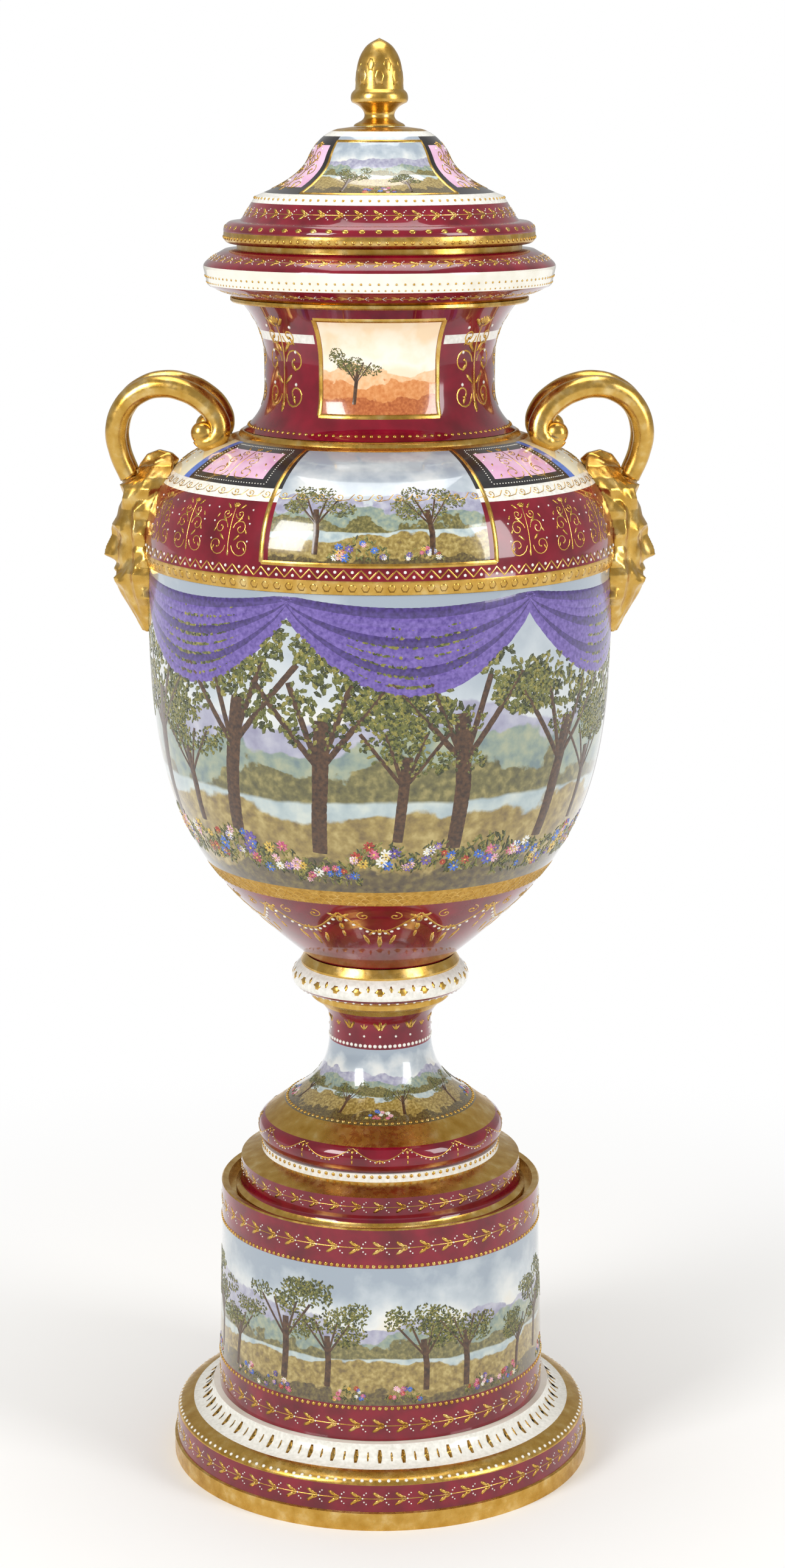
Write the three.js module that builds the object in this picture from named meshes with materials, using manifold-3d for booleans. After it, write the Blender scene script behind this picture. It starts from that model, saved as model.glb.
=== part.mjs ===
// A lidded porcelain urn with scroll handles on masks, standing in the recess of a round plinth.
// Millimetres, +Z up, origin under the middle of the plinth. Azimuth 0 is +X, where one mask looks.
import * as THREE from 'three';
import { mergeVertices } from 'three/addons/utils/BufferGeometryUtils.js';
import Module from 'manifold-3d';

const { clamp, degToRad, lerp, smoothstep } = THREE.MathUtils;

const wasm = await Module();
wasm.setup();

// Clearances and facets
const GAP = 0.3;
const WIDE = 24;
const SLIM = 20;
const SMALL = 12;
const WALL = 6.5;
const BOLT_HOLE = 6;

// Heights of the joints between the castings
const BASE_TOP = 49;
const RIM_TOP = 196.8;
const LEDGE = 190;
const SOCLE_TOP = 225;
const STEM_TOP = 325.8;
const COLLAR_TOP = 357;
const BOWL_TOP = 624;
const SHOULDER_TOP = 711;
const NECK_TOP = 796.6;
const LID_SEAT = 830.7;
const LID_TOP = 904.4;

// Plinth
const BASE_R = 144;
const BASE_BORE_R = 100;
const FOOT_RING = 12;
const DRUM_FOOT_R = 112.2;
const DRUM_TOP_R = 109.3;
const RECESS_R = 104.6;
const LEDGE_BORE_R = 58;
const WEB = 7;

// Foot and collar
const FLANGE_R = 99.4;
const SOCLE_R = 95.5;
const STEM_R = 34.6;
const KNOP_R = 60.1;

// Bowl, shoulder, neck and mouth
const BOWL_FOOT_R = 50;
const BOWL_R = 153;
const BAND_R = 155.8;
const NECK_FOOT_R = 91.5;
const NECK_R = 75;
const LIP_R = 97;
const RIM_R = 114.6;
const MOUTH_R = 83;
const UPSTAND_R = 92.4;

// Lid and finial
const LID_R = 101;
const LID_RING_R = 80;
const LID_RING_DROP = 25;
const FINIAL_R = 16.6;
const TIP = 960;

// Tie bolt through the foot, collar and bowl
const ROD_R = 4;
const ROD_LOW = 201;
const ROD_HIGH = 388;
const NUT_R = 8.5;
const NUT_H = 7;
const WASHER_R = 20;
const WASHER_H = 2;
const PAD_R = 23;
const PAD_H = 2.5;
const SOCLE_WEB = 7;
const BOWL_FLOOR = 366;

// Handles: a horn-like tube that rises from a mask and ends in a volute on the shoulder
const TUBE_R = 7.35;
const TUBE_ROOT_R = 6.2;
const TUBE_STEPS = 20;
const TUBE_SIDES = 8;
const HORN_ROOT_Y = 9;
const HORN_TIP_Y = 27;
const VOLUTE = { x: 112.8, z: 712.2, ball: 7.6, ballX: 114.6, ballZ: 710.6 };

// Masks
const CROWN_Z = 688;
const HAIRLINE_Z = 668;
const CHIN_Z = 602;
const BEARD_TIP_Z = 577;
const FACE_HALF_WIDTH = 23;
const FACE_X = 173;
const NOSE_X = 183;

const RED = 0x7d1233;
const GOLD = 0xb98d3c;
const CREAM = 0xefe9d8;
const PAINTED = 0x9aa3a4;

function finish(colour, roughness, metalness) {
  return new THREE.MeshStandardMaterial({ color: colour, roughness, metalness });
}

const redGlaze = () => finish(RED, 0.12, 0);
const paintedGlaze = () => finish(PAINTED, 0.12, 0);
const creamGlaze = () => finish(CREAM, 0.15, 0);
const gilding = () => finish(GOLD, 0.3, 1);
const iron = () => finish(0x5a5653, 0.55, 1);
const brass = () => finish(0xb08d4a, 0.35, 1);
const cork = () => finish(0xb07f52, 0.9, 0);

const model = new THREE.Group();

function addPiece(name, geometry, material) {
  const mesh = new THREE.Mesh(geometry, material);
  mesh.name = name;
  model.add(mesh);
}

// A profile is an outline in the radius-height plane, walked up the outside and down the inside.
class Profile {
  constructor(r, z) {
    this.points = [new THREE.Vector2(r, z)];
  }

  to(...pairs) {
    for (const [r, z] of pairs) this.points.push(new THREE.Vector2(r, z));
    return this;
  }

  curve(control1, control2, end, steps) {
    const bezier = new THREE.CubicBezierCurve(
      this.points.at(-1), new THREE.Vector2(...control1), new THREE.Vector2(...control2),
      new THREE.Vector2(...end));
    this.points.push(...bezier.getPoints(steps).slice(1));
    return this;
  }

  close() {
    this.points.push(this.points[0].clone());
    return this;
  }

  revolve(segments) {
    const geometry = new THREE.LatheGeometry(this.points, segments);
    geometry.rotateX(Math.PI / 2);
    return bare(geometry);
  }
}

// Leaves only positions, with shared corners merged, as the solid modeller needs.
function bare(geometry) {
  geometry.deleteAttribute('normal');
  geometry.deleteAttribute('uv');
  return mergeVertices(geometry, 1e-4);
}

function solid(geometry) {
  const vertProperties = new Float32Array(geometry.attributes.position.array);
  const triVerts = new Uint32Array(geometry.index.array);
  return new wasm.Manifold(new wasm.Mesh({ numProp: 3, vertProperties, triVerts }));
}

function geometryOf(manifold) {
  const { vertProperties, triVerts } = manifold.getMesh();
  const geometry = new THREE.BufferGeometry();
  geometry.setAttribute('position', new THREE.BufferAttribute(vertProperties, 3));
  geometry.setIndex(new THREE.BufferAttribute(triVerts, 1));
  geometry.computeVertexNormals();
  return geometry;
}

function join(geometries) {
  return geometries.map(solid).reduce((whole, part) => whole.add(part));
}

function mirrored(geometry, sx, sy) {
  const copy = geometry.clone();
  copy.scale(sx, sy, 1);
  if (sx * sy < 0) {
    const index = copy.index.array;
    for (let i = 0; i < index.length; i += 3) [index[i], index[i + 1]] = [index[i + 1], index[i]];
  }
  copy.computeVertexNormals();
  return copy;
}

// A round tube along a curve whose radius changes on the way, closed by its end rings.
function horn(curve, radiusAt, steps, sides) {
  const frames = curve.computeFrenetFrames(steps, false);
  const positions = [];
  const index = [];
  for (let i = 0; i <= steps; i++) {
    const centre = curve.getPointAt(i / steps);
    for (let j = 0; j < sides; j++) {
      const angle = (j / sides) * 2 * Math.PI;
      const point = centre.clone()
        .addScaledVector(frames.normals[i], radiusAt(i / steps) * Math.cos(angle))
        .addScaledVector(frames.binormals[i], radiusAt(i / steps) * Math.sin(angle));
      positions.push(point.x, point.y, point.z);
      if (i === steps) continue;
      const here = i * sides + j;
      const beside = i * sides + (j + 1) % sides;
      index.push(here, beside, here + sides, beside, beside + sides, here + sides);
    }
  }
  for (let j = 1; j < sides - 1; j++) {
    index.push(0, j + 1, j);
    index.push(steps * sides, steps * sides + j, steps * sides + j + 1);
  }
  const geometry = new THREE.BufferGeometry();
  geometry.setAttribute('position', new THREE.Float32BufferAttribute(positions, 3));
  geometry.setIndex(index);
  return geometry;
}

function vector(x, y, z) {
  return new THREE.Vector3(x, y, z);
}

function path(points) {
  return new THREE.CatmullRomCurve3(points.map((p) => vector(...p)), false, 'centripetal');
}

// Plinth: a moulded base ring and a drum with a recess in its top, both open underneath.
function plinthBase() {
  return new Profile(BASE_R - FOOT_RING, 0)
    .to([BASE_R, 0], [BASE_R, 12], [BASE_R - 1.6, 12.6], [BASE_R - 2.4, 30])
    .curve([BASE_R - 2.6, 34], [BASE_R - 7, 35.5], [132.4, 37], 3)
    .curve([123, 38], [118, 42], [116.5, BASE_TOP], 4)
    .to([BASE_BORE_R, BASE_TOP], [BASE_BORE_R, BASE_TOP - WEB], [108, 38], [126, 26], [BASE_R - FOOT_RING, 16])
    .close().revolve(WIDE);
}

function plinthDrum() {
  const inner = DRUM_FOOT_R - WALL - 2;
  return new Profile(inner, BASE_TOP + GAP)
    .to([DRUM_FOOT_R, BASE_TOP + GAP], [DRUM_FOOT_R - 0.4, 80], [110.2, 130], [DRUM_TOP_R, 170])
    .to([DRUM_TOP_R, RIM_TOP - 0.9], [DRUM_TOP_R - 0.8, RIM_TOP])
    .to([RECESS_R, RIM_TOP - 0.8], [RECESS_R, LEDGE], [LEDGE_BORE_R, LEDGE], [LEDGE_BORE_R, LEDGE - WEB])
    .to([inner - 10, LEDGE - WEB - 2], [inner - 1, LEDGE - WEB - 14])
    .close().revolve(WIDE);
}

// Foot: a socle ring that stands on the ledge, and a cushion that rises as a bell to the stem.
function footSocle() {
  const seat = LEDGE + GAP;
  return new Profile(FLANGE_R - 13, seat)
    .to([FLANGE_R - 1.5, seat], [FLANGE_R, seat + 1.2], [FLANGE_R, seat + 3])
    .curve([FLANGE_R - 3, 195], [SOCLE_R, 197], [SOCLE_R, 200.5], 3)
    .to([SOCLE_R, 213.6], [81.4, 219.4], [81, SOCLE_TOP])
    .to([BOLT_HOLE, SOCLE_TOP], [BOLT_HOLE, SOCLE_TOP - SOCLE_WEB])
    .to([74, SOCLE_TOP - SOCLE_WEB], [87, 206])
    .close().revolve(WIDE);
}

function footBell() {
  const seat = SOCLE_TOP + GAP;
  return new Profile(70, seat)
    .to([79.4, seat])
    .curve([84.4, 229], [86.1, 239.5], [79.1, 243], 4)
    .to([65.6, 253.4])
    .curve([52.5, 261.6], [33.8, 272], [STEM_R, 303], 6)
    .to([STEM_R, 311])
    .curve([STEM_R + 0.4, 316], [38.5, 320], [43, STEM_TOP], 3)
    .to([BOLT_HOLE, STEM_TOP], [BOLT_HOLE, STEM_TOP - 8], [26, STEM_TOP - 14], [27, 300])
    .curve([27, 280], [42, 260], [58, 250], 3)
    .to([74, 240], [74, 231])
    .close().revolve(SLIM);
}

function stemCollar() {
  const seat = STEM_TOP + GAP;
  return new Profile(24, seat)
    .to([45.8, seat], [47.4, 327.6], [47.4, 331])
    .curve([50, 333.4], [57.5, 333.6], [KNOP_R - 0.8, 338], 3)
    .curve([KNOP_R + 0.8, 342], [59, 347], [53.6, 350.2], 3)
    .to([53.8, 351.6], [50.8, COLLAR_TOP])
    .to([BOLT_HOLE, COLLAR_TOP], [BOLT_HOLE, COLLAR_TOP - 9], [30, COLLAR_TOP - 13], [30, 334])
    .close().revolve(SLIM);
}

function bowl() {
  const seat = COLLAR_TOP + GAP;
  return new Profile(BOLT_HOLE, seat)
    .to([BOWL_FOOT_R, seat])
    .curve([73.1, 376.6], [106.2, 405], [122.9, 434.3], 6)
    .curve([146.9, 476.1], [BOWL_R, 519.9], [BOWL_R, 600], 6)
    .to([BOWL_R, BOWL_TOP], [BOWL_R - WALL, BOWL_TOP], [BOWL_R - WALL, 590])
    .curve([BOWL_R - WALL, 522], [140, 480], [116.5, 438], 4)
    .curve([100, 409], [72, 384], [46, BOWL_FLOOR], 3)
    .to([BOLT_HOLE, BOWL_FLOOR])
    .close().revolve(WIDE);
}

// The shoulder's outer face, grown by a clearance when it is used to seat other pieces.
function shoulderFace(profile, grow) {
  return profile
    .to([BAND_R - 1.8 + grow, BOWL_TOP + GAP - grow], [BAND_R + grow, 631.5], [BAND_R - 0.6 + grow, 641])
    .curve([BAND_R - 1 + grow, 669 + grow], [137 + grow, 697 + grow], [NECK_FOOT_R + 1 + grow, 707.8 + grow], 7);
}

function shoulder() {
  const inner = BOWL_R - WALL;
  return shoulderFace(new Profile(inner, BOWL_TOP + GAP), 0)
    .to([NECK_FOOT_R, SHOULDER_TOP - 1], [NECK_FOOT_R - 1.5, SHOULDER_TOP])
    .to([NECK_FOOT_R - 10, SHOULDER_TOP], [NECK_FOOT_R - 10, SHOULDER_TOP - WEB])
    .curve([120, 695], [146, 680], [inner, 641], 4)
    .close().revolve(WIDE);
}

function neck() {
  const seat = SHOULDER_TOP + GAP;
  return new Profile(NECK_FOOT_R - 9, seat)
    .to([NECK_FOOT_R - 2.5, seat], [NECK_FOOT_R - 3.5, seat + 1])
    .curve([83, 717], [75.5, 724], [NECK_R, 738], 4)
    .to([NECK_R, 757])
    .curve([NECK_R, 775], [83.4, 785.4], [89.5, 793.4], 5)
    .to([LIP_R - 1, 793.8], [LIP_R, 794.8], [LIP_R, NECK_TOP])
    .to([LIP_R - 10, NECK_TOP])
    .curve([78, 786], [NECK_R - WALL, 776], [NECK_R - WALL, 757], 3)
    .to([NECK_R - WALL, 738])
    .curve([NECK_R - WALL, 726], [75, 720], [NECK_FOOT_R - 9, seat + 3], 2)
    .close().revolve(SLIM);
}

function neckRim() {
  const seat = NECK_TOP + GAP;
  return new Profile(MOUTH_R, seat)
    .to([LIP_R - 1, seat], [LIP_R, 798.2], [110.4, 804], [111.8, 805.2], [RIM_R - 0.6, 814.8])
    .curve([RIM_R + 0.6, 818.6], [RIM_R - 3, 821], [100.5, 827.2], 4)
    .to([UPSTAND_R, 828], [UPSTAND_R, LID_SEAT], [MOUTH_R, LID_SEAT])
    .close().revolve(WIDE);
}

function lidShell() {
  const seat = LID_SEAT + GAP;
  return new Profile(LID_RING_R, seat - LID_RING_DROP)
    .to([LID_RING_R, seat], [LID_R - 4, seat])
    .curve([LID_R - 0.4, seat + 0.6], [LID_R + 0.4, 834.5], [LID_R - 0.2, 838.6], 3)
    .curve([LID_R + 0.6, 841], [LID_R - 2, 844.3], [96.4, 845], 2)
    .to([90.6, 845.4], [88.8, 847.2], [82.6, 857.2])
    .to([80, 861])
    .curve([67.5, 865.8], [50.2, 874], [45.8, 885], 4)
    .curve([42.4, 893], [36.6, 900.6], [27, 903.2], 4)
    .to([FINIAL_R + 1, LID_TOP])
    .to([0, LID_TOP], [0, LID_TOP - 6])
    .to([24, LID_TOP - 7.5])
    .curve([36, 893], [38, 878], [50, 868], 3)
    .to([72, 856], [74, 850], [LID_RING_R - 6, seat - LID_RING_DROP])
    .close().revolve(WIDE);
}

function finialAcorn() {
  const seat = LID_TOP + GAP;
  return new Profile(0, seat)
    .to([FINIAL_R, seat])
    .curve([FINIAL_R - 0.2, 907.5], [10, 907], [9.6, 911.6], 3)
    .curve([9.6, 915], [13, 918], [17.4, 919.6], 3)
    .curve([18.8, 920.8], [18.8, 924.6], [17.2, 926.4], 3)
    .to([15.6, 928])
    .curve([14.8, 934], [15.8, 945], [10, 952.8], 5)
    .curve([7.6, 956.6], [4.2, 958], [0, TIP], 2)
    .revolve(SMALL);
}

// Tie bolt and its fittings: a plain rod, hexagon nuts, iron washers and cork pads on the glaze.
function ring(inner, outer, low, high, segments) {
  return new Profile(inner, low).to([outer, low], [outer, high], [inner, high]).close().revolve(segments);
}

function nut(low) {
  const hexagon = solid(new Profile(0, low).to([NUT_R, low], [NUT_R, low + NUT_H], [0, low + NUT_H]).revolve(6));
  const hole = solid(new Profile(0, low - 1)
    .to([ROD_R + GAP, low - 1], [ROD_R + GAP, low + NUT_H + 1], [0, low + NUT_H + 1]).revolve(SMALL));
  return geometryOf(hexagon.subtract(hole));
}

function addTieBolt() {
  const bore = ROD_R + GAP;
  const rod = new Profile(0, ROD_LOW)
    .to([ROD_R - 0.8, ROD_LOW], [ROD_R, ROD_LOW + 0.8], [ROD_R, ROD_HIGH - 0.8], [ROD_R - 0.8, ROD_HIGH], [0, ROD_HIGH]);
  addPiece('tie_rod', rod.revolve(SMALL), iron());

  const padLow = SOCLE_TOP - SOCLE_WEB - GAP - PAD_H;
  const washerLow = padLow - GAP - WASHER_H;
  addPiece('lower_cork_pad', ring(bore, PAD_R, padLow, padLow + PAD_H, SMALL), cork());
  addPiece('lower_washer', ring(bore, WASHER_R, washerLow, washerLow + WASHER_H, SMALL), iron());
  addPiece('lower_nut', nut(washerLow - GAP - NUT_H), brass());

  const upperPad = BOWL_FLOOR + GAP;
  const upperWasher = upperPad + PAD_H + GAP;
  addPiece('upper_cork_pad', ring(bore, PAD_R, upperPad, upperPad + PAD_H, SMALL), cork());
  addPiece('upper_washer', ring(bore, WASHER_R, upperWasher, upperWasher + WASHER_H, SMALL), iron());
  addPiece('upper_nut', nut(upperWasher + WASHER_H + GAP), brass());
}

// The body's outside, grown by the clearance, which cuts the seats of the handles and masks.
function bodyCutter() {
  const grow = GAP;
  const cutter = new Profile(0, 500)
    .to([149 + grow, 500])
    .curve([152 + grow, 535], [BOWL_R + grow, 560], [BOWL_R + grow, 600], 4)
    .to([BOWL_R + grow, BOWL_TOP - grow]);
  return solid(shoulderFace(cutter, grow)
    .to([NECK_FOOT_R + grow, SHOULDER_TOP + grow], [NECK_R + 6, 722], [0, 722])
    .revolve(WIDE));
}

// One horn on the +X side, curving away to +Y. t runs from the mask to the volute.
function hornPath() {
  const arch = [
    [158.5, 664], [164, 680], [170.5, 697], [171.8, 712], [166, 727], [155, 736.5], [142, 740], [128, 738],
    [114.5, 731], [106, 721.5],
  ];
  const turn = [[0, 9.2], [35, 8.6], [70, 7.7], [105, 6.9], [140, 6.3]];
  for (const [degrees, radius] of turn) {
    const angle = degToRad(180 + degrees);
    arch.push([VOLUTE.x + radius * Math.cos(angle), VOLUTE.z + radius * Math.sin(angle)]);
  }
  const last = arch.length - 1;
  return path(arch.map(([x, z], i) => {
    const spread = smoothstep(i, 0, last * 0.8);
    return [x, lerp(HORN_ROOT_Y, HORN_TIP_Y, spread), z];
  }));
}

function hornRadius(t) {
  const swell = smoothstep(t, 0, 0.25);
  const taper = smoothstep(t, 0.78, 1);
  return TUBE_ROOT_R + (TUBE_R - TUBE_ROOT_R) * swell - 2.6 * taper;
}

// A cut across the horn's root, so that the horn and the mask's socket meet face to face.
function rootCutter(curve, t, behind) {
  const size = behind ? 40 : 400;
  const centre = curve.getPointAt(t);
  const direction = curve.getTangentAt(t).multiplyScalar(behind ? -1 : 1);
  const block = new THREE.BoxGeometry(size, size, size);
  block.translate(0, 0, size / 2);
  block.applyQuaternion(new THREE.Quaternion().setFromUnitVectors(vector(0, 0, 1), direction));
  block.translate(centre.x, centre.y, centre.z);
  return solid(bare(block));
}

const ROOT_T = 0.09;

function handle(cutter) {
  const curve = hornPath();
  const tube = horn(curve, hornRadius, TUBE_STEPS, TUBE_SIDES);
  const ball = new THREE.SphereGeometry(VOLUTE.ball, 10, 6);
  ball.scale(1, 0.86, 1);
  ball.rotateX(Math.PI / 2);
  ball.translate(VOLUTE.ballX, HORN_TIP_Y, VOLUTE.ballZ);
  const scroll = solid(tube).add(solid(bare(ball)));
  return geometryOf(scroll.subtract(rootCutter(curve, ROOT_T, true)).subtract(cutter));
}

function bump(distance, width) {
  return Math.exp(-((distance / width) ** 2));
}

// Value at z on a line through [height, value] pairs, eased between them.
function along(pairs, z) {
  const last = pairs.length - 1;
  if (z <= pairs[0][0]) return pairs[0][1];
  for (let i = 0; i < last; i++) {
    const [low, from] = pairs[i];
    const [high, to] = pairs[i + 1];
    if (z <= high) return lerp(from, to, (z - low) / (high - low));
  }
  return pairs[last][1];
}

// The head is drawn about an upright axis: how far its front, side and axis stand at each height.
const HEAD_FRONT = [
  [BEARD_TIP_Z, 3], [585, 7], [593, 11], [CHIN_Z, 16.5], [611, 20.5], [635, FACE_X - 151], [648, 23.5],
  [HAIRLINE_Z, 19], [CROWN_Z - 8, 16], [CROWN_Z, 11], [CROWN_Z + 6, 4],
];
const HEAD_SIDE = [
  [BEARD_TIP_Z, 5], [585, 11], [593, 16], [CHIN_Z, 20], [615, FACE_HALF_WIDTH], [650, FACE_HALF_WIDTH + 1],
  [HAIRLINE_Z, 22], [CROWN_Z - 8, 20], [CROWN_Z, 14], [CROWN_Z + 6, 5],
];
const HEAD_AXIS = [[BEARD_TIP_Z, 151], [HAIRLINE_Z - 8, 151], [CROWN_Z - 8, 145], [CROWN_Z + 6, 138]];

function nose(angle, z) {
  const length = smoothstep(z, 622.5, 627.5) * (1 - smoothstep(z, 627.5, 650));
  const flare = lerp(11, 6, clamp((z - 626) / 22, 0, 1));
  const wings = 2.2 * bump(Math.abs(angle) - 13, 4.5) * bump(z - 627, 3);
  return (NOSE_X - FACE_X) * length * bump(angle, flare) + wings;
}

function brow(side, z) {
  const arch = 648.5 - ((side - 22) / 14) ** 2;
  return 2.6 * bump(z - arch, 2.6) * (1 - smoothstep(side, 38, 55)) - 3.2 * bump(side - 24, 12) * bump(z - 641, 4.6);
}

function eye(side, z) {
  return 2.7 * bump(side - 23, 7.5) * bump(z - 640.5, 2.5);
}

function moustache(side, z) {
  const droop = 619.5 - 7.5 * smoothstep(side, 4, 48);
  return 4.2 * bump(z - droop, 3.3) * smoothstep(side, -3, 5) * (1 - smoothstep(side, 40, 58));
}

function mouth(side, z) {
  return (2 * bump(z - 611, 1.9) - 1.8 * bump(z - 614.2, 1.4)) * (1 - smoothstep(side, 8, 17));
}

function beard(angle, side, z) {
  const reach = 1 - smoothstep(z, 603 + 0.28 * side, 610 + 0.28 * side);
  const curl = Math.sin(degToRad(angle * 5 + 34 * Math.sin(z / 5.5) * Math.sign(angle)));
  return reach * (1.6 + 2.4 * Math.abs(curl));
}

function hair(side, z) {
  const edge = z > HAIRLINE_Z - 6 ? lerp(62, 0, smoothstep(z, HAIRLINE_Z - 6, HAIRLINE_Z + 4)) : 62;
  const wave = Math.sin(z / 3.1 + 0.09 * side) * Math.sin(z / 7.4 - 0.05 * side);
  const taper = smoothstep(z, 583, 606) * (1 - smoothstep(z, CROWN_Z - 6, CROWN_Z + 6));
  return smoothstep(side, edge, edge + 9) * (5.4 + 2.8 * wave) * taper;
}

function headRadius(angle, z) {
  const side = Math.abs(angle);
  const front = along(HEAD_FRONT, z);
  const flank = along(HEAD_SIDE, z);
  const turned = degToRad(angle);
  const roundness = 2.4;
  const shape = Math.abs(Math.cos(turned) / front) ** roundness + Math.abs(Math.sin(turned) / flank) ** roundness;
  const skull = shape ** (-1 / roundness);
  const cheek = 1.4 * bump(side - 36, 14) * bump(z - 628, 7);
  const face = nose(angle, z) + brow(side, z) + eye(side, z) + moustache(side, z) + mouth(side, z) + cheek;
  return skull + face + beard(angle, side, z) + hair(side, z);
}

const HEAD_ANGLES = [0, 7, 14, 23, 33, 44, 55, 63, 72, 84, 98, 112];
const HEAD_LEVELS = [
  BEARD_TIP_Z, 583, 590, 597, 603, 608, 611.5, 614.5, 619, 623, 627.5, 633, 637, 641, 645, 648.5, 654, 660, 667, 674,
  681, CROWN_Z, CROWN_Z + 6,
];

// Stacked level outlines of the head, closed through points inside the body.
function head() {
  const angles = [...HEAD_ANGLES.slice(1).reverse().map((a) => -a), ...HEAD_ANGLES];
  const size = angles.length;
  const positions = [];
  const index = [];
  for (const z of HEAD_LEVELS) {
    const axis = along(HEAD_AXIS, z);
    for (const angle of angles) {
      const radius = headRadius(angle, z);
      positions.push(axis + radius * Math.cos(degToRad(angle)), radius * Math.sin(degToRad(angle)), z);
    }
  }
  for (let i = 0; i + 1 < HEAD_LEVELS.length; i++) {
    for (let j = 0; j < size; j++) {
      const here = i * size + j;
      const beside = i * size + (j + 1) % size;
      index.push(here, beside, here + size, beside, beside + size, here + size);
    }
  }
  const top = (HEAD_LEVELS.length - 1) * size;
  for (let j = 1; j < size - 1; j++) {
    index.push(0, j + 1, j);
    index.push(top, top + j, top + j + 1);
  }
  const geometry = new THREE.BufferGeometry();
  geometry.setAttribute('position', new THREE.Float32BufferAttribute(positions, 3));
  geometry.setIndex(index);
  return geometry;
}

// A curl of the crest: a tapering tube through a few points.
function curl(points, thickness) {
  return horn(path(points), (t) => thickness * (0.5 + 0.5 * Math.sin(Math.PI * (0.2 + t * 0.75))), 5, 6);
}

function mask(cutter) {
  const curve = hornPath();
  const bothSides = (part) => part.add(solid(mirrored(geometryOf(part), 1, -1)));
  const socket = solid(horn(curve, (t) => hornRadius(t) + 1.3, TUBE_STEPS, TUBE_SIDES))
    .subtract(rootCutter(curve, ROOT_T - 0.002, false));
  const room = solid(horn(curve, (t) => hornRadius(t) + 1.4, TUBE_STEPS, TUBE_SIDES))
    .subtract(rootCutter(curve, ROOT_T - 0.002, true));
  const crest = join([
    curl([[156, 0, 680], [149, 0, 690], [141, 0, 692], [133, 0, 688]], 6.5),
    curl([[136, 2, 688], [144, 9, 688], [150, 15, 681]], 4.6),
    curl([[136, -2, 688], [144, -9, 688], [150, -15, 681]], 4.6),
  ]);
  const whole = solid(head()).add(crest).add(bothSides(socket)).subtract(bothSides(room));
  return geometryOf(whole.subtract(cutter));
}

addPiece('plinth_base', plinthBase(), redGlaze());
addPiece('plinth_drum', plinthDrum(), paintedGlaze());
addPiece('foot_socle', footSocle(), redGlaze());
addPiece('foot_bell', footBell(), redGlaze());
addPiece('stem_collar', stemCollar(), creamGlaze());
addPiece('bowl', bowl(), paintedGlaze());
addPiece('shoulder', shoulder(), redGlaze());
addPiece('neck', neck(), redGlaze());
addPiece('neck_rim', neckRim(), redGlaze());
addPiece('lid_shell', lidShell(), redGlaze());
addPiece('finial_acorn', finialAcorn(), gilding());
addTieBolt();

const cutter = bodyCutter();
const scroll = handle(cutter);
const face = mask(cutter);
for (const [side, sx] of [['right', 1], ['left', -1]]) {
  addPiece(`handle_${side}_front`, mirrored(scroll, sx, -1), gilding());
  addPiece(`handle_${side}_rear`, mirrored(scroll, sx, 1), gilding());
  addPiece(`mask_${side}`, mirrored(face, sx, 1), gilding());
}

export default model;
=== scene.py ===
# The lidded porcelain urn: fine turned shapes, raised gilding, enamel pictures, masks and scroll handles.
import math
import random

import bmesh
import bpy
from mathutils import Matrix, Vector


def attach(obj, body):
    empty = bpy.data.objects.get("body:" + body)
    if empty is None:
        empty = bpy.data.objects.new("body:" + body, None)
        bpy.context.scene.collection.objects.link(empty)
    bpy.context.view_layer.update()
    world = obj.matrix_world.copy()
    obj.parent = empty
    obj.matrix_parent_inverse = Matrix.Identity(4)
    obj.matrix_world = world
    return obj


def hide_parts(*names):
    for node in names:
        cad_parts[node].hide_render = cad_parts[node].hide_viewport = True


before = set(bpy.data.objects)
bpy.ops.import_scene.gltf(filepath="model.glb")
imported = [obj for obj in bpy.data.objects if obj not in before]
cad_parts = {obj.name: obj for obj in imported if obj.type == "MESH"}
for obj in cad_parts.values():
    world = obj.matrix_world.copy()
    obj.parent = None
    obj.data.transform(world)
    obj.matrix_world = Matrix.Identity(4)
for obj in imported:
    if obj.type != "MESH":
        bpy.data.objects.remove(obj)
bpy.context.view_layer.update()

MM = 0.001  # outlines and ornament are in millimetres, meshes in metres
TURN_STEPS = 192  # facets round a turned piece, too fine to show on its edge
SHARP_EDGE = math.radians(32)  # an edge that turns by more stays crisp
MERGE = 1e-6  # metres within which two vertices are one
FRONT = -90.0  # degrees from +X to the photographed side
RELIEF = 0.3  # mm that gold and enamel stand proud of the glaze
SINK = 0.08  # mm that their undersides go into the glaze
CHUNK = 900  # vertices that a mesh being drawn on may have before it is set aside
STRAIGHT = 3.0  # mm that a raised line runs before it has to bend with the surface
rng = random.Random(11)


def linear(hex_colour):
    """An sRGB hex colour as the linear colour that shaders take."""
    values = [int(hex_colour[i:i + 2], 16) / 255 for i in (1, 3, 5)]
    return [v / 12.92 if v <= 0.04045 else ((v + 0.055) / 1.055) ** 2.4 for v in values] + [1.0]


def set_inputs(tree, node, inputs):
    """Links in the inputs that are sockets and sets the others."""
    for key, value in inputs.items():
        if isinstance(value, bpy.types.NodeSocket):
            tree.links.new(value, node.inputs[key])
        else:
            node.inputs[key].default_value = value


def add(tree, kind, settings=None, inputs=None):
    """Adds a node with its settings and inputs."""
    node = tree.nodes.new(kind)
    for key, value in (settings or {}).items():
        setattr(node, key, value)
    set_inputs(tree, node, inputs or {})
    return node


def new_material(name):
    """An empty material, its node tree, its shader and the coordinates that its patterns follow."""
    material = bpy.data.materials.new(name)
    material.use_nodes = True
    tree = material.node_tree
    shader = tree.nodes["Principled BSDF"]
    where = add(tree, "ShaderNodeTexCoord").outputs["Object"]
    return material, tree, shader, where


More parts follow.
